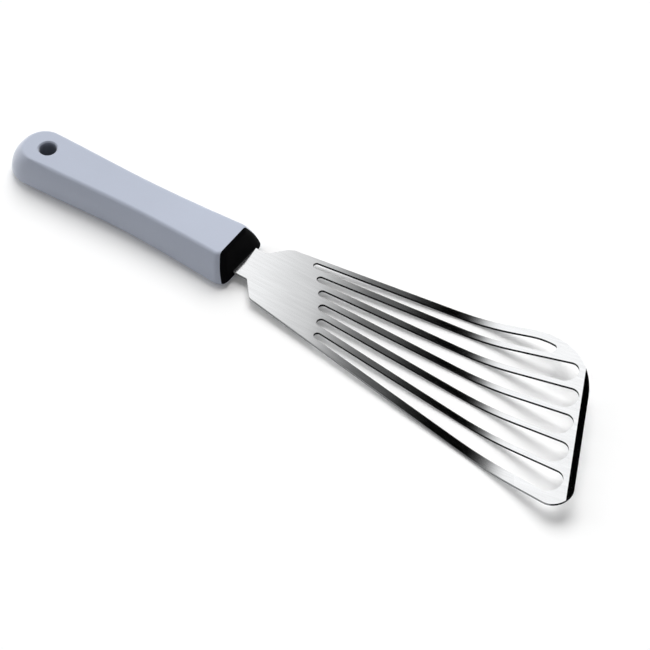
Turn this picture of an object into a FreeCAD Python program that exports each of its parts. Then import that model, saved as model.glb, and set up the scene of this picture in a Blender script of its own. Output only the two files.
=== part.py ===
import FreeCAD, Part
import math
import os

# Fish spatula: a slotted, fanned and bent sheet blade moulded into a two-colour handle.
# Frame: origin on the hanging hole's axis at the underside, +X to the blade's tip,
# +Y to the far side, +Z up. The tool rests on the handle's underside and the blade's belly.
# Lengths are millimetres, angles are degrees.

Vector = FreeCAD.Vector
UP = Vector(0, 0, 1)

# Handle, whole outer form
handle_height = 15.4
mouth_x = 104.4
mouth_rake_angle = 18.3
waist_x = 48.3
butt_reach = 11.9
butt_corner_radius = 9.4
front_half_width = 10.65
waist_half_width = 8.9
tail_half_width = 10.0
front_flare = 6.0
waist_flare = 4.3
tail_flare = 4.55
butt_flare = 6.45
front_spread_angle = 3.1
mouth_curve_power = 1.8
side_curve_power = 2.45
butt_curve_power = 2.7
loft_level_shares = (0.0, 0.4, 0.75, 1.0)
top_edge_radius = 2.2
mouth_corner_radius = 4.8
foot_edge_width = 2.5

# Handle, inner core and its flange at the mouth
sleeve_wall = 2.6
core_rear_x = 16.0
flange_depth = 1.5

# Hanging hole
hang_hole_radius = 4.2
hang_hole_rim_width = 0.6

# Blade, sheet and bend
sheet_thickness = 1.2
belly_x = 226.7
bend_skew_angle = 31.23
bend_radius = 86.4
rear_slope_angle = 1.76
front_rise_angle = 14.12

# Blade, outline in plan
front_x = 286.1
front_skew_angle = 23.1
far_edge_angle = 8.36
near_edge_angle = 9.27
far_shoulder_x = 123.6
far_shoulder_half_width = 18.87
near_shoulder_x = 124.4
near_shoulder_half_width = 16.18
far_neck_x = 115.7
far_neck_half_width = 10.2
near_neck_x = 117.1
near_neck_half_width = 7.4
far_front_radius = 38.0
near_front_radius = 7.9
far_shoulder_radius = 8.0
near_shoulder_radius = 3.0
far_neck_radius = 3.0
near_neck_radius = 1.5
bevel_width = 2.95
edge_thickness = 0.3

# Blade, tang inside the handle
tang_rear_x = 34.0
tang_half_width = 6.5
tang_corner_radius = 3.0
tang_taper_x = 94.0
tang_taper_length = 6.0
lock_hole_radius = 3.5
lock_hole_xs = (54.0, 80.0)

# Blade, fan of bars between the slots
fan_x = 11.4
fan_y = 0.42
fan_mid_angle = 0.31
fan_step_angle = 2.87
fan_rear_x = 144.4
fan_front_x = 264.4
bar_rear_width = 3.15
bar_front_width = 2.4
far_rim_rear_width = 2.3
far_rim_front_width = 3.8
near_rim_rear_width = 3.0
near_rim_front_width = 4.45
front_rim_widths = (5.6, 4.0, 4.6, 4.8, 5.2)
bar_count = len(front_rim_widths)
slot_rear_x = 149.0
slot_rear_skew_angle = 34.4
slot_rear_bow = 2.0
far_slot_corner_radius = 2.45

# One overrun for every cut, and how level a level face is
overrun = 5.0
level_tolerance = 0.01


def slope(angle):
    return math.tan(math.radians(angle))


def heading(angle):
    """Level unit vector at an angle from +X towards +Y."""
    return Vector(math.cos(math.radians(angle)), math.sin(math.radians(angle)), 0)


def unit(vector):
    return vector * (1 / vector.Length)


def arc(start, centre, towards, end):
    """Arc edge about a centre, from start to end, passing on the side of a direction."""
    middle = centre + unit(towards) * (start - centre).Length
    return Part.Arc(start, middle, end).toShape()


def meet(point_a, along_a, point_b, along_b):
    """Where two level lines cross."""
    across = along_a.cross(along_b).z
    return point_a + along_a * ((point_b - point_a).cross(along_b).z / across)


def eased_corner(before, corner, after, radius):
    """Rounding of one corner between two straight runs: its start, its arc and its end."""
    back = unit(before - corner)
    ahead = unit(after - corner)
    half_angle = back.getAngle(ahead) / 2
    inward = unit(back + ahead)
    centre = corner + inward * (radius / math.sin(half_angle))
    start = corner + back * (radius / math.tan(half_angle))
    end = corner + ahead * (radius / math.tan(half_angle))
    return start, arc(start, centre, inward * -1, end), end


def eased_outline(corners):
    """Closed outline through corners given as (point, radius), each rounded by its radius."""
    points = [point for point, radius in corners]
    roundings = []
    for index, (point, radius) in enumerate(corners):
        after = points[(index + 1) % len(points)]
        roundings.append(eased_corner(points[index - 1], point, after, radius))
    edges = []
    for index, (start, rounding, end) in enumerate(roundings):
        edges.append(Part.makeLine(roundings[index - 1][2], start))
        edges.append(rounding)
    return Part.Wire(edges)


# Handle


mouth_lead = handle_height * slope(mouth_rake_angle) + flange_depth + overrun


def flare_share(height, curve_power):
    """Share of the full flare at a height: all of it underneath, none on top, curving over."""
    return 1 - (height / handle_height) ** curve_power


def half_widths(height):
    """Half widths of the handle at one height: past the mouth, at the waist and at the tail."""
    side_share = flare_share(height, side_curve_power)
    front_width = front_half_width + mouth_lead * slope(front_spread_angle)
    front_width = front_width + front_flare * flare_share(height, mouth_curve_power)
    waist_width = waist_half_width + waist_flare * side_share
    tail_width = tail_half_width + tail_flare * side_share
    return front_width, waist_width, tail_width


def handle_outline(height):
    """Plan outline of the handle at one height: waisted sides, rounded butt, open run at the front."""
    front_width, waist_width, tail_width = half_widths(height)
    radius = butt_corner_radius + tail_width - tail_half_width
    butt_x = -butt_reach - butt_flare * flare_share(height, butt_curve_power)
    tail_x = butt_x + radius

    sides = []
    rounds = []
    for side in (1, -1):
        curve = Part.BSplineCurve()
        points = [
            Vector(mouth_x + mouth_lead, side * front_width, height),
            Vector(waist_x, side * waist_width, height),
            Vector(tail_x, side * tail_width, height),
        ]
        curve.interpolate(
            Points=points,
            InitialTangent=Vector(-1, -side * slope(front_spread_angle), 0),
            FinalTangent=Vector(-1, 0, 0),
        )
        sides.append(curve.toShape())
        centre = Vector(tail_x, side * (tail_width - radius), height)
        butt_corner = Vector(butt_x, side * (tail_width - radius), height)
        rounds.append(arc(points[-1], centre, Vector(-1, side, 0), butt_corner))
    far_butt, near_butt = (rounding.lastVertex().Point for rounding in rounds)
    far_front, near_front = (side.firstVertex().Point for side in sides)
    butt_line = Part.makeLine(far_butt, near_butt)
    front_line = Part.makeLine(near_front, far_front)
    return Part.Wire([sides[0], rounds[0], butt_line, rounds[1], sides[1], front_line])


def core_outline(height):
    """Plan outline of the core's room at one height: straight runs a wall's thickness inside."""
    front_width, waist_width, _ = half_widths(height)
    far_points = [
        Vector(core_rear_x, waist_width - sleeve_wall, height),
        Vector(waist_x, waist_width - sleeve_wall, height),
        Vector(mouth_x + mouth_lead, front_width - sleeve_wall, height),
    ]
    near_points = [Vector(point.x, -point.y, height) for point in reversed(far_points)]
    return Part.makePolygon([*far_points, *near_points, far_points[0]])


def ahead_of_mouth(lead):
    """Everything in front of the raked plane that lies a lead ahead of the sleeve's mouth."""
    reach = front_x
    block = Part.makeBox(reach, 2 * reach, 2 * reach, Vector(0, -reach, -reach))
    block.rotate(Vector(), Vector(0, 1, 0), -mouth_rake_angle)
    block.translate(Vector(mouth_x + lead, 0, handle_height))
    return block


def level_face(shape, height):
    """The largest level face of a shape at one height."""
    level = []
    for face in shape.Faces:
        off_level = max(abs(face.BoundBox.ZMin - height), abs(face.BoundBox.ZMax - height))
        if off_level < level_tolerance:
            level.append(face)
    return max(level, key=lambda face: face.Area)


def whole_handle():
    """Sleeve and flange in one: rounded mouth corners and top edge, eased foot edge."""
    heights = [share * handle_height for share in loft_level_shares]
    form = Part.makeLoft([handle_outline(height) for height in heights], True, False)
    form = form.cut(ahead_of_mouth(flange_depth))
    mouth_face = max(form.Faces, key=lambda face: face.CenterOfMass.x)
    uprights = [edge for edge in mouth_face.Edges if edge.BoundBox.ZLength > handle_height / 2]
    form = form.makeFillet(mouth_corner_radius, uprights)
    form = form.makeFillet(top_edge_radius, level_face(form, handle_height).OuterWire.Edges)
    return form.makeChamfer(foot_edge_width, level_face(form, 0).OuterWire.Edges)


def core_space():
    """Room inside the sleeve, from the core's rear end to the mouth plane."""
    outlines = [core_outline(height) for height in (sleeve_wall, handle_height - sleeve_wall)]
    return Part.makeLoft(outlines, True, True).cut(ahead_of_mouth(0))


def handle_sleeve(whole, core_room):
    sleeve = whole.cut(ahead_of_mouth(0)).cut(core_room)
    hole = Part.makeCylinder(hang_hole_radius, handle_height + 2 * overrun, Vector(0, 0, -overrun))
    sleeve = sleeve.cut(hole)
    top_face = level_face(sleeve, handle_height)
    (rim,) = [wire for wire in top_face.Wires if not wire.isSame(top_face.OuterWire)]
    return sleeve.makeChamfer(hang_hole_rim_width, rim.Edges)


def handle_core(whole, core_room, blade_solid):
    flange = whole.common(ahead_of_mouth(0))
    return flange.fuse(core_room).removeSplitter().cut(blade_solid)


# Blade


def bent_sheet():
    """Endless sheet with its bend: rear part falling to the belly, front part rising from it."""
    outer_radius = bend_radius + sheet_thickness
    centre = Vector(0, 0, outer_radius)
    run = 2 * front_x

    def around(angle, radius):
        turn = math.radians(angle)
        return centre + Vector(math.sin(turn), 0, -math.cos(turn)) * radius

    def along(angle):
        turn = math.radians(angle)
        return Vector(math.cos(turn), 0, math.sin(turn)) * run

    rear = -rear_slope_angle
    front = front_rise_angle
    middle = (rear + front) / 2
    top = Part.Arc(around(rear, bend_radius), around(middle, bend_radius), around(front, bend_radius))
    below = Part.Arc(around(front, outer_radius), around(middle, outer_radius), around(rear, outer_radius))
    ahead_top = around(front, bend_radius) + along(front)
    ahead_below = around(front, outer_radius) + along(front)
    back_below = around(rear, outer_radius) - along(rear)
    back_top = around(rear, bend_radius) - along(rear)
    profile = Part.Wire(
        [
            top.toShape(),
            Part.makeLine(around(front, bend_radius), ahead_top),
            Part.makeLine(ahead_top, ahead_below),
            Part.makeLine(ahead_below, around(front, outer_radius)),
            below.toShape(),
            Part.makeLine(around(rear, outer_radius), back_below),
            Part.makeLine(back_below, back_top),
            Part.makeLine(back_top, around(rear, bend_radius)),
        ]
    )
    profile.translate(Vector(0, -run, 0))
    sheet = Part.Face(profile).extrude(Vector(0, 2 * run, 0))
    sheet.rotate(Vector(), UP, bend_skew_angle)
    sheet.translate(Vector(belly_x, 0, 0))
    return sheet


far_edge_point = Vector(far_shoulder_x, far_shoulder_half_width, 0)
near_edge_point = Vector(near_shoulder_x, -near_shoulder_half_width, 0)
front_point = Vector(front_x, 0, 0)
front_along = heading(front_skew_angle - 90)
front_inward = heading(front_skew_angle + 180)
far_front_corner = meet(far_edge_point, heading(far_edge_angle), front_point, front_along)
near_front_corner = meet(near_edge_point, heading(-near_edge_angle), front_point, front_along)


def blade_outline():
    """Outer outline of the flat blank: tang, neck, shoulders, flared sides and skewed front."""
    neck_rear_x = tang_taper_x + tang_taper_length
    corners = [
        (Vector(tang_rear_x, -tang_half_width, 0), tang_corner_radius),
        (Vector(tang_taper_x, -tang_half_width, 0), tang_corner_radius),
        (Vector(neck_rear_x, -near_neck_half_width, 0), tang_corner_radius),
        (Vector(near_neck_x, -near_neck_half_width, 0), near_neck_radius),
        (near_edge_point, near_shoulder_radius),
        (near_front_corner, near_front_radius),
        (far_front_corner, far_front_radius),
        (far_edge_point, far_shoulder_radius),
        (Vector(far_neck_x, far_neck_half_width, 0), far_neck_radius),
        (Vector(neck_rear_x, far_neck_half_width, 0), tang_corner_radius),
        (Vector(tang_taper_x, tang_half_width, 0), tang_corner_radius),
        (Vector(tang_rear_x, tang_half_width, 0), tang_corner_radius),
    ]
    return eased_outline(corners)


class Border:
    """Straight border of a slot: a point on it, its forward heading and its side of the slot."""

    def __init__(self, point, along, inward):
        self.point = point
        self.along = unit(along)
        self.inward = unit(inward)

    def distance(self, point):
        return (point - self.point).dot(self.inward)


def border_through(rear_y, front_y, side):
    """Slot border from its two heights in Y at the fan's rear and front stations."""
    point = Vector(fan_rear_x, rear_y, 0)
    along = Vector(fan_front_x, front_y, 0) - point
    return Border(point, along, Vector(-along.y, along.x, 0) * side)


def line_ys(point, angle):
    """Heights in Y of a line through a point, at the fan's rear and front stations."""
    return [point.y + (x - point.x) * slope(angle) for x in (fan_rear_x, fan_front_x)]


def slot_borders():
    """Pairs of borders, far side first, of the slots between rims and fanned bars."""
    far_rear_y, far_front_y = line_ys(far_edge_point, far_edge_angle)
    near_rear_y, near_front_y = line_ys(near_edge_point, -near_edge_angle)
    uppers = [border_through(far_rear_y - far_rim_rear_width, far_front_y - far_rim_front_width, -1)]
    lowers = []
    for index in range(bar_count):
        bar_angle = fan_mid_angle + fan_step_angle * ((bar_count - 1) / 2 - index)
        rear_y, front_y = line_ys(Vector(fan_x, fan_y, 0), bar_angle)
        lowers.append(border_through(rear_y + bar_rear_width / 2, front_y + bar_front_width / 2, 1))
        uppers.append(border_through(rear_y - bar_rear_width / 2, front_y - bar_front_width / 2, -1))
    lowers.append(border_through(near_rear_y + near_rim_rear_width, near_front_y + near_rim_front_width, 1))
    return list(zip(uppers, lowers))


def circle_touching(first, second, third):
    """Centre and radius of the circle inside three borders."""
    point = meet(
        bisector_point(first, second),
        bisector_heading(first, second),
        bisector_point(first, third),
        bisector_heading(first, third),
    )
    return point, first.distance(point)


def bisector_heading(first, second):
    """Heading of the line that stays equally far from two borders."""
    difference = first.inward - second.inward
    return Vector(-difference.y, difference.x, 0)


def bisector_point(first, second):
    """A point equally far from two borders."""
    difference = first.inward - second.inward
    offset = first.inward.dot(first.point) - second.inward.dot(second.point)
    return difference * (offset / difference.dot(difference))


def rear_border(upper, lower):
    """Square rear border of a slot, on the skewed and bowed line of the slots' rear ends."""
    middle_y = (upper.point.y + lower.point.y) / 2
    half_span = (far_shoulder_half_width + near_shoulder_half_width) / 2
    bow = slot_rear_bow * (1 - (middle_y / half_span) ** 2)
    x = slot_rear_x - middle_y * slope(slot_rear_skew_angle) + bow
    return Border(Vector(x, middle_y, 0), Vector(0, 1, 0), Vector(1, 0, 0))


def slot_rear_end(upper, lower):
    """Full round at a slot's rear end, from its lower border to its upper one."""
    centre, radius = circle_touching(upper, lower, rear_border(upper, lower))
    start = centre - lower.inward * radius
    end = centre - upper.inward * radius
    return arc(start, centre, Vector(-1, 0, 0), end), start, end


def straight_slot(upper, lower, front_rim_width):
    """Slot with both ends fully round, the front one a rim's width inside the front edge."""
    rear, rear_low, rear_high = slot_rear_end(upper, lower)
    front_border = Border(front_point + front_inward * front_rim_width, front_along, front_inward)
    centre, radius = circle_touching(upper, lower, front_border)
    front_high = centre - upper.inward * radius
    front_low = centre - lower.inward * radius
    front = arc(front_high, centre, upper.along + lower.along, front_low)
    upper_line = Part.makeLine(rear_high, front_high)
    lower_line = Part.makeLine(front_low, rear_low)
    return Part.Wire([rear, upper_line, front, lower_line])


def far_slot(upper, lower):
    """Slot whose front follows the blade's large far corner round to the first bar."""
    rear, rear_low, rear_high = slot_rear_end(upper, lower)
    half_angle = heading(far_edge_angle + 180).getAngle(front_along) / 2
    to_centre = unit(front_along - heading(far_edge_angle))
    centre = far_front_corner + to_centre * (far_front_radius / math.sin(half_angle))
    radius = upper.distance(centre)
    sweep_start = centre - upper.inward * radius

    corner = far_slot_corner_radius
    rise = corner - lower.distance(centre)
    ahead = math.sqrt((radius - corner) ** 2 - rise**2)
    corner_centre = centre + lower.inward * rise + lower.along * ahead
    sweep_end = centre + unit(corner_centre - centre) * radius
    corner_end = corner_centre - lower.inward * corner

    sweep = arc(sweep_start, centre, sweep_start + sweep_end - centre * 2, sweep_end)
    rounding = arc(sweep_end, corner_centre, lower.along, corner_end)
    upper_line = Part.makeLine(rear_high, sweep_start)
    lower_line = Part.makeLine(corner_end, rear_low)
    return Part.Wire([rear, upper_line, sweep, rounding, lower_line])


def lock_holes():
    """Round holes through the tang that the core fills as pegs."""
    return [Part.Wire([Part.makeCircle(lock_hole_radius, Vector(x, 0, 0))]) for x in lock_hole_xs]


def bevel_cut():
    """Wedge that grinds the front edge thin, square to the front edge on the rising part."""
    bend_along = heading(bend_skew_angle)
    rise = slope(front_rise_angle)
    normal = unit(UP - bend_along * rise)
    turn = math.radians(front_rise_angle)
    outer_radius = bend_radius + sheet_thickness
    flat_start = Vector(belly_x, 0, outer_radius) + bend_along * (bend_radius * math.sin(turn))
    flat_start = flat_start - UP * (bend_radius * math.cos(turn))

    def on_front(point):
        """Point of the rising part's top face above a point in plan."""
        return point + UP * (flat_start.z + (point - flat_start).dot(bend_along) * rise)

    edge_along = unit(on_front(far_front_corner) - on_front(near_front_corner))
    ahead = unit(edge_along.cross(normal))
    inner = on_front(near_front_corner) - ahead * bevel_width - edge_along * overrun
    fall = (sheet_thickness - edge_thickness) / bevel_width
    reach = bevel_width + overrun
    lower_front = inner + ahead * reach - normal * (fall * reach)
    upper_front = inner + ahead * reach + normal * overrun
    wedge = Part.makePolygon([inner, lower_front, upper_front, inner])
    length = (far_front_corner - near_front_corner).Length + 2 * overrun
    return Part.Face(wedge).extrude(edge_along * length)


def blade():
    far_pair, *straight_pairs = slot_borders()
    wires = [blade_outline(), far_slot(*far_pair)]
    wires.extend(straight_slot(*pair, rim) for pair, rim in zip(straight_pairs, front_rim_widths))
    wires.extend(lock_holes())
    blank = Part.makeFace(wires, "Part::FaceMakerBullseye")
    blank.translate(Vector(0, 0, -overrun))
    return blank.extrude(UP * front_x).common(bent_sheet()).cut(bevel_cut())


def single_solid(shape):
    """The one solid of a boolean result."""
    (solid,) = shape.Solids
    return solid


os.makedirs("parts", exist_ok=True)
whole = whole_handle()
core_room = core_space()
blade_solid = single_solid(blade())
pieces = {
    "blade": blade_solid,
    "handle_core": single_solid(handle_core(whole, core_room, blade_solid)),
    "handle_sleeve": single_solid(handle_sleeve(whole, core_room)),
}
for name, solid in pieces.items():
    solid.exportStep("parts/" + name + ".step")
    print(name, solid.isValid(), round(solid.Volume), solid.BoundBox)
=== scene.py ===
import math

import bpy
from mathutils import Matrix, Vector

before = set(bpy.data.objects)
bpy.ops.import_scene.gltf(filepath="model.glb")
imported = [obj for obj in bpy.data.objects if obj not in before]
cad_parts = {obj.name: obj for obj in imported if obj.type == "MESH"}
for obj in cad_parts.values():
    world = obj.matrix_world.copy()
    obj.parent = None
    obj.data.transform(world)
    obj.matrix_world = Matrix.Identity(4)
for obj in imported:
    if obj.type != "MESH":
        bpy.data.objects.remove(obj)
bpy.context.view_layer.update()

# Lengths are metres in the part's own frame, colours are linear

# Camera
camera_azimuth = math.radians(33.68)
camera_elevation = math.radians(48.98)
camera_target = Vector((0.15949, -0.00797, 0.0))
camera_distance = 1.10619
camera_lens_mm = 138.46
camera_sensor_mm = 36.0
camera_clip_start = 0.01

# Light levels, where a level white floor in the open gets about 1 in all: an even fill, a soft key
# from behind and a soft side light from the butt's end
fill_level = 0.265
key_level = 0.59
key_heading = Vector((-0.30, 0.57, 0.765)).normalized()
key_spread = math.radians(46.0)
side_level = 0.165
side_heading = Vector((-0.90, 0.10, 0.42)).normalized()
side_spread = math.radians(60.0)

# Background and floor. The floor has one colour as seen, and a duller one in the light it throws back
background_level = 1.0
floor_half_size = 4.0
floor_colour = 0.80
floor_seen_colour = 0.97
floor_lift = 0.04

# Sheets that only the gloss sees. Each has its cover by place along its own axes: a high black panel
# square to the blade's bend, a low white card over the blade's rear, a shade above the panel and a
# wall round about. The panel's stops along X shift with Y, from one pair of place and shift to another
black_level = 0.0
white_level = 1.0
panel_height = 0.8
panel_turn = math.radians(31.23)
panel_lean = ((0.45, -0.035), (0.63, 0.038))
panel_cover = {
    "X": [
        (-0.20, 0.0), (-0.11, 0.0), (-0.05, 0.07), (0.018, 0.34), (0.087, 0.80),
        (0.15, 0.965), (0.20, 1.0), (0.56, 1.0), (0.80, 0.50), (1.4, 0.35),
    ],
    "Y": [(-1.4, 0.35), (0.05, 0.45), (0.22, 1.0), (0.78, 1.0), (1.0, 0.50), (1.4, 0.40)],
}
card_height = 0.083
card_turn = math.radians(24.0)
card_cover = {
    "X": [
        (0.02, 0.0), (0.07, 0.915), (0.092, 0.915), (0.102, 0.83), (0.116, 0.655), (0.1285, 0.565),
        (0.1415, 0.28), (0.154, 0.115), (0.170, 0.074), (0.179, 0.022), (0.192, 0.0),
    ],
    "Y": [(-0.13, 0.0), (-0.08, 1.0), (0.07, 1.0), (0.13, 0.0)],
}
shade_height = 0.85
shade_cover = {
    "X": [(-1.5, 0.0), (-1.2, 1.0), (1.2, 1.0), (1.5, 0.0)],
    "Y": [(-1.5, 0.20), (-0.6, 0.42), (0.0, 0.38), (0.30, 0.0)],
}
wall_radius = 3.0
wall_side_count = 64
wall_cover = {"Z": [(0.0, 0.20), (0.5, 0.42), (1.1, 0.50), (1.7, 0.30), (2.3, 0.0)]}

# Noise patterns: repeats per metre along X, Y and Z, then detail and roughness. Most of a pattern's
# values lie in the middle range, and most sums of two patterns in the range of sums
fine_streaks = ((55.0, 5200.0, 55.0), 3.0, 0.55)
long_streaks = ((60.0, 820.0, 60.0), 2.0, 0.5)
clouds = ((38.0, 52.0, 38.0), 2.0, 0.5)
grain = ((2600.0, 2600.0, 2600.0), 2.0, 0.5)
specks = ((700.0, 700.0, 700.0), 3.0, 0.6)
drift = ((22.0, 34.0, 34.0), 2.0, 0.5)
middle_range = (0.3, 0.7)
sum_range = (0.7, 1.3)

# Steel. Faces whose normal is less upright than a range are cut edges: slot walls and outer edges
steel_colour = (0.930, 0.940, 0.950)
steel_tone_shares = (0.94, 1.045)
steel_fine_share = 0.3
steel_roughness = (0.08, 0.12)
steel_bump_strength = 0.03
steel_bump_depth = 0.00004
cut_edge_upright = (0.45, 0.7)
cut_edge_roughness = 0.6
# Cut edge colours are painted: painted shade near black on slot walls and the front edge, painted
# reflection of the floor in mid grey on outer edges
slot_wall_painted_shade = (0.004, 0.004, 0.0045)
outer_edge_painted_reflection = (0.30, 0.305, 0.31)

# The blade's outer edges, which get the painted reflection's mid grey: all cut edges behind the slots,
# up to where the neck ends, and the two long sides, by a point and a slope of each as in the part's
# source. Both fade out over a range
neck_end = (0.131, 0.132)
blade_sides = [
    (0.1236, 0.01887, math.tan(math.radians(8.36))),
    (0.1244, -0.01618, -math.tan(math.radians(9.27))),
]
outer_edge_band = (0.0005, 0.0010)

# Plastic. The sleeve's hanging hole stands on the part's own Z axis, and painted shade darkens its
# wall inside
plastic_tone_shares = (0.97, 1.03)
plastic_drift_share = 0.75
sheen_roughness = 0.35
grain_depth = 0.00004
speck_depth = 0.00006
speck_strength_share = 0.5
hole_radius = 0.0042
hole_reach_shares = (1.0, 1.12)
hole_top = 0.0154
hole_height_shares = (0.8, 1.0)
sleeve_finish = {
    "colour": (0.450, 0.490, 0.590),
    "roughness": (0.36, 0.44),
    "gloss": 0.5,
    "sheen": 0.7,
    "grain_strength": 0.12,
    # Share of the colour kept on the hanging hole's wall, as painted shade
    "hole_shade_share": 0.45,
}
core_finish = {
    "colour": (0.0025, 0.0025, 0.003),
    "roughness": (0.50, 0.60),
    "gloss": 0.02,
    "sheen": 0.0,
    "grain_strength": 0.10,
    "hole_shade_share": None,
}


class Nodes:
    """Shorthand for building the node tree of one material or world."""

    def __init__(self, owner):
        owner.use_nodes = True
        self.tree = owner.node_tree
        self.tree.nodes.clear()

    def add(self, kind, **settings):
        node = self.tree.nodes.new(kind)
        for name, value in settings.items():
            setattr(node, name, value)
        return node

    def link(self, source, target):
        self.tree.links.new(source, target)

    def math(self, operation, *values):
        """One sum over fixed numbers and other nodes' outputs."""
        node = self.add("ShaderNodeMath", operation=operation)
        for socket, value in zip(node.inputs, values):
            if isinstance(value, (int, float)):
                socket.default_value = value
            else:
                self.link(value, socket)
        return node.outputs[0]

    def weighed(self, first, second, first_share):
        """Sum of two values, one with a share and the other with the rest."""
        first_part = self.math("MULTIPLY", first, first_share)
        return self.math("ADD", first_part, self.math("MULTIPLY", second, 1.0 - first_share))

    def spread(self, value, given=(0.0, 1.0), wanted=(0.0, 1.0)):
        """Maps a value from one range to another, held at both ends."""
        node = self.add("ShaderNodeMapRange")
        for name, number in zip(("From Min", "From Max", "To Min", "To Max"), (*given, *wanted)):
            node.inputs[name].default_value = number
        self.link(value, node.inputs["Value"])
        return node.outputs["Result"]

    def fade(self, value, given):
        """1 below a range, 0 above it."""
        return self.spread(value, given, (1.0, 0.0))

    def blend(self, share, first, second):
        """Colour between two, each a fixed colour or another node's output."""
        node = self.add("ShaderNodeMix", data_type="RGBA")
        self.link(share, node.inputs["Factor"])
        colour_inputs = [socket for socket in node.inputs if socket.type == "RGBA"]
        for socket, value in zip(colour_inputs, (first, second)):
            if isinstance(value, tuple):
                socket.default_value = (*value, 1.0)
            else:
                self.link(value, socket)
        (colour,) = [socket for socket in node.outputs if socket.type == "RGBA"]
        return colour

    def place(self):
        """Place in the object's own coordinates."""
        return self.add("ShaderNodeTexCoord").outputs["Object"]

    def split(self, vector):
        """A vector's X, Y and Z, by name."""
        node = self.add("ShaderNodeSeparateXYZ")
        self.link(vector, node.inputs[0])
        return node.outputs

    def noise(self, place, pattern):
        """Noise of a pattern over a place."""
        scale, detail, roughness = pattern
        mapping = self.add("ShaderNodeMapping")
        mapping.inputs["Scale"].default_value = scale
        self.link(place, mapping.inputs["Vector"])
        node = self.add("ShaderNodeTexNoise")
        node.inputs["Scale"].default_value = 1.0
        node.inputs["Detail"].default_value = detail
        node.inputs["Roughness"].default_value = roughness
        self.link(mapping.outputs["Vector"], node.inputs["Vector"])
        return node.outputs["Fac"]

    def bump(self, height, strength, depth, under=None):
        node = self.add("ShaderNodeBump")
        node.inputs["Strength"].default_value = strength
        node.inputs["Distance"].default_value = depth
        self.link(height, node.inputs["Height"])
        if under is not None:
            self.link(under, node.inputs["Normal"])
        return node.outputs["Normal"]

    def finish(self, shader, kind="ShaderNodeOutputMaterial"):
        self.link(shader, self.add(kind).inputs["Surface"])


def scaled(values, factor):
    return tuple(value * factor for value in values)


def toned(nodes, tone, colour, shares):
    """Colour that drifts between two shares of itself."""
    low, high = shares
    return nodes.blend(nodes.spread(tone, middle_range), scaled(colour, low), scaled(colour, high))


def seen_ray(nodes):
    """1 for rays that show the background as it is: to the camera, in gloss and through glass."""
    path = nodes.add("ShaderNodeLightPath").outputs
    either = nodes.math("MAXIMUM", path["Is Camera Ray"], path["Is Glossy Ray"])
    return nodes.math("MAXIMUM", either, path["Is Transmission Ray"])


def outer_edge(nodes, place):
    """1 on the blade's long sides and its neck, which get the painted reflection, 0 at the slots and
    the front edge, which get the painted shade.
    """
    at = nodes.split(place)
    share = nodes.fade(at["X"], neck_end)
    for side_x, side_y, side_slope in blade_sides:
        run = nodes.math("MULTIPLY", nodes.math("SUBTRACT", at["X"], side_x), side_slope)
        rise = nodes.math("SUBTRACT", at["Y"], side_y)
        off = nodes.math("ABSOLUTE", nodes.math("SUBTRACT", rise, run))
        share = nodes.math("MAXIMUM", share, nodes.fade(off, outer_edge_band))
    return share


def steel_material():
    """Fine lengthwise brushing on the faces and rough cut edges, with painted shade near black on the
    slot walls and front edge and a painted reflection in mid grey on the outer edges.
    """
    material = bpy.data.materials.new("brushed_sheet_steel")
    nodes = Nodes(material)
    place = nodes.place()
    fine = nodes.noise(place, fine_streaks)
    tone = nodes.weighed(fine, nodes.noise(place, long_streaks), steel_fine_share)
    cloudy = nodes.math("ADD", fine, nodes.noise(place, clouds))

    normal = nodes.split(nodes.add("ShaderNodeNewGeometry").outputs["True Normal"])
    cut_edge = nodes.fade(nodes.math("ABSOLUTE", normal["Z"]), cut_edge_upright)
    # Painted shade and painted reflection on the cut edges: near black on slot walls and front edge,
    # mid grey on outer edges
    wall = nodes.blend(outer_edge(nodes, place), slot_wall_painted_shade, outer_edge_painted_reflection)
    colour = nodes.blend(cut_edge, toned(nodes, tone, steel_colour, steel_tone_shares), wall)
    face_roughness = nodes.spread(cloudy, sum_range, steel_roughness)
    edge_roughness = nodes.math("MULTIPLY", cut_edge, cut_edge_roughness)

    shader = nodes.add("ShaderNodeBsdfPrincipled")
    shader.inputs["Metallic"].default_value = 1.0
    nodes.link(colour, shader.inputs["Base Color"])
    nodes.link(nodes.math("MAXIMUM", face_roughness, edge_roughness), shader.inputs["Roughness"])
    nodes.link(nodes.bump(fine, steel_bump_strength, steel_bump_depth), shader.inputs["Normal"])
    nodes.finish(shader.outputs[0])
    return material


def hole_shade_mask(nodes, place):
    """1 on the wall of the hanging hole, where the painted shade goes, 0 elsewhere."""
    at = nodes.split(place)
    squares = [nodes.math("POWER", at[axis], 2.0) for axis in ("X", "Y")]
    from_axis = nodes.math("SQRT", nodes.math("ADD", *squares))
    near_axis = nodes.fade(from_axis, scaled(hole_reach_shares, hole_radius))
    below_rim = nodes.fade(at["Z"], scaled(hole_height_shares, hole_top))
    return nodes.math("MULTIPLY", near_axis, below_rim)


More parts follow.
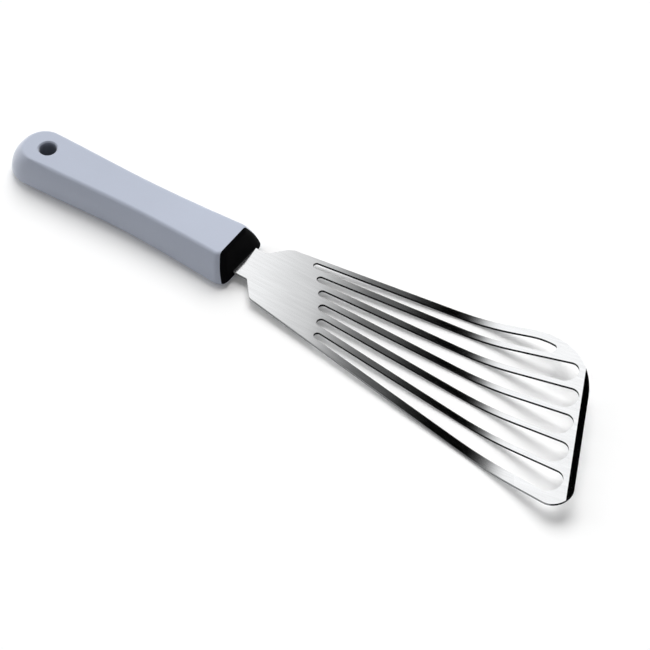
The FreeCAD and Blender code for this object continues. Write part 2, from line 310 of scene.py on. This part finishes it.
def plastic_material(name, colour, roughness, gloss, sheen, grain_strength, hole_shade_share):
    """Moulded plastic: a fine even grain, a soft sheen, a faint drift of tone and, where given,
    painted shade inside the hanging hole.
    """
    material = bpy.data.materials.new(name)
    nodes = Nodes(material)
    place = nodes.place()
    speck = nodes.noise(place, specks)
    tone = nodes.weighed(nodes.noise(place, drift), speck, plastic_drift_share)
    body = toned(nodes, tone, colour, plastic_tone_shares)
    # Painted shade: the wall inside the hanging hole is darkened to a share of the colour
    if hole_shade_share is not None:
        body = nodes.blend(hole_shade_mask(nodes, place), body, scaled(colour, hole_shade_share))
    under = nodes.bump(speck, grain_strength * speck_strength_share, speck_depth)
    surface = nodes.bump(nodes.noise(place, grain), grain_strength, grain_depth, under)

    shader = nodes.add("ShaderNodeBsdfPrincipled")
    nodes.link(body, shader.inputs["Base Color"])
    nodes.link(nodes.spread(speck, middle_range, roughness), shader.inputs["Roughness"])
    shader.inputs["Specular IOR Level"].default_value = gloss
    shader.inputs["Sheen Weight"].default_value = sheen
    shader.inputs["Sheen Roughness"].default_value = sheen_roughness
    nodes.link(surface, shader.inputs["Normal"])
    nodes.finish(shader.outputs[0])
    return material


def floor_material():
    """Pale floor that keeps the object's shadow and is lifted to the background's white."""
    material = bpy.data.materials.new("pale_floor")
    nodes = Nodes(material)
    seen = seen_ray(nodes)
    matte = nodes.add("ShaderNodeBsdfDiffuse")
    colour = nodes.spread(seen, wanted=(floor_colour, floor_seen_colour))
    nodes.link(colour, matte.inputs["Color"])
    glow = nodes.add("ShaderNodeEmission")
    nodes.link(nodes.math("MULTIPLY", seen, floor_lift), glow.inputs["Strength"])
    both = nodes.add("ShaderNodeAddShader")
    nodes.link(matte.outputs[0], both.inputs[0])
    nodes.link(glow.outputs[0], both.inputs[1])
    nodes.finish(both.outputs[0])
    return material


def reach(stops):
    """First and last place of a cover's stops."""
    return stops[0][0], stops[-1][0]


def cover_along(nodes, along, stops):
    """Cover of a sheet by its place along one of its own axes."""
    low, high = reach(stops)
    ramp = nodes.add("ShaderNodeValToRGB")
    nodes.link(nodes.spread(along, (low, high)), ramp.inputs["Fac"])
    elements = ramp.color_ramp.elements
    ready = len(elements)
    for index, (position, cover) in enumerate(stops):
        share = (position - low) / (high - low)
        element = elements[index] if index < ready else elements.new(share)
        element.position = share
        element.color = (cover, cover, cover, 1.0)
    return ramp.outputs["Color"]


def sheet_material(name, covers, level, lean=None):
    """Glowing or black sheet that lets through what its cover leaves."""
    material = bpy.data.materials.new(name)
    nodes = Nodes(material)
    at = nodes.split(nodes.place())
    cover = 1.0
    for axis, stops in covers.items():
        along = at[axis]
        if axis == "X" and lean is not None:
            (y_low, shift_low), (y_high, shift_high) = lean
            shift = nodes.spread(at["Y"], (y_low, y_high), (shift_low, shift_high))
            along = nodes.math("SUBTRACT", along, shift)
        cover = nodes.math("MULTIPLY", cover_along(nodes, along, stops), cover)
    glow = nodes.add("ShaderNodeEmission")
    glow.inputs["Strength"].default_value = level
    mixed = nodes.add("ShaderNodeMixShader")
    nodes.link(cover, mixed.inputs["Fac"])
    nodes.link(nodes.add("ShaderNodeBsdfTransparent").outputs[0], mixed.inputs[1])
    nodes.link(glow.outputs[0], mixed.inputs[2])
    nodes.finish(mixed.outputs[0])
    return material


def stage_object(name, points, faces, material):
    mesh = bpy.data.meshes.new(name)
    mesh.from_pydata(points, [], faces)
    mesh.materials.append(material)
    thing = bpy.data.objects.new(name, mesh)
    bpy.context.scene.collection.objects.link(thing)
    return thing


def flat_sheet(name, x_span, y_span, material):
    """Level stage sheet between two places along X and two along Y."""
    (x_low, x_high), (y_low, y_high) = x_span, y_span
    corners = [(x_low, y_low, 0), (x_high, y_low, 0), (x_high, y_high, 0), (x_low, y_high, 0)]
    return stage_object(name, corners, [(0, 1, 2, 3)], material)


def show_in_gloss_alone(thing):
    thing.visible_camera = False
    thing.visible_diffuse = False
    thing.visible_transmission = False
    thing.visible_shadow = False


def gloss_sheet(name, turn, height, covers, level, lean=None):
    """Sheet above the blade, as large as its cover's stops reach."""
    material = sheet_material(name, covers, level, lean)
    sheet = flat_sheet(name, reach(covers["X"]), reach(covers["Y"]), material)
    sheet.location.z = height
    sheet.rotation_euler.z = turn
    show_in_gloss_alone(sheet)


def gloss_wall(name, radius, covers, level):
    """Round wall about the object, as high as its cover's stops reach."""
    count = wall_side_count
    turns = [math.tau * index / count for index in range(count)]
    ring = [(radius * math.cos(turn), radius * math.sin(turn)) for turn in turns]
    points = [(x, y, z) for z in reach(covers["Z"]) for x, y in ring]
    faces = []
    for index in range(count):
        following = (index + 1) % count
        faces.append((index, following, count + following, count + index))
    wall = stage_object(name, points, faces, sheet_material(name, covers, level))
    wall.location = camera_target
    show_in_gloss_alone(wall)


def soft_lamp(name, heading, level, spread):
    """Even soft light from a heading, that gives a level white floor this level."""
    lamp = bpy.data.lights.new(name, "SUN")
    lamp.energy = level * math.pi / heading.z
    lamp.angle = spread
    holder = bpy.data.objects.new(name, lamp)
    holder.rotation_euler = (-heading).to_track_quat("-Z", "Y").to_euler()
    holder.visible_camera = False
    holder.visible_glossy = False
    bpy.context.scene.collection.objects.link(holder)


def build_world():
    world = bpy.data.worlds.new("studio")
    bpy.context.scene.world = world
    nodes = Nodes(world)
    back = nodes.add("ShaderNodeBackground")
    level = nodes.spread(seen_ray(nodes), wanted=(fill_level, background_level))
    nodes.link(level, back.inputs["Strength"])
    back.inputs["Color"].default_value = (1.0, 1.0, 1.0, 1.0)
    nodes.finish(back.outputs[0], "ShaderNodeOutputWorld")


def build_stage():
    floor_span = (-floor_half_size, floor_half_size)
    flat_sheet("floor", floor_span, floor_span, floor_material())
    gloss_sheet("panel", panel_turn, panel_height, panel_cover, black_level, panel_lean)
    gloss_sheet("card", card_turn, card_height, card_cover, white_level)
    gloss_sheet("shade", panel_turn, shade_height, shade_cover, black_level)
    gloss_wall("wall", wall_radius, wall_cover, black_level)
    soft_lamp("key", key_heading, key_level, key_spread)
    soft_lamp("side", side_heading, side_level, side_spread)


def build_camera():
    level = math.cos(camera_elevation)
    towards = Vector((
        math.sin(camera_azimuth) * level,
        -math.cos(camera_azimuth) * level,
        math.sin(camera_elevation),
    ))
    data = bpy.data.cameras.new("camera")
    data.lens = camera_lens_mm
    data.sensor_width = camera_sensor_mm
    data.clip_start = camera_clip_start
    camera = bpy.data.objects.new("camera", data)
    camera.location = camera_target + towards * camera_distance
    camera.rotation_euler = (-towards).to_track_quat("-Z", "Y").to_euler()
    bpy.context.scene.collection.objects.link(camera)
    bpy.context.scene.camera = camera


def dress(node, material):
    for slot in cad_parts[node].material_slots:
        slot.material = material


build_camera()
build_stage()
build_world()
dress("blade", steel_material())
dress("handle_sleeve", plastic_material("soft_moulded_plastic", **sleeve_finish))
dress("handle_core", plastic_material("black_moulded_plastic", **core_finish))
bpy.context.scene.view_settings.view_transform = "Standard"
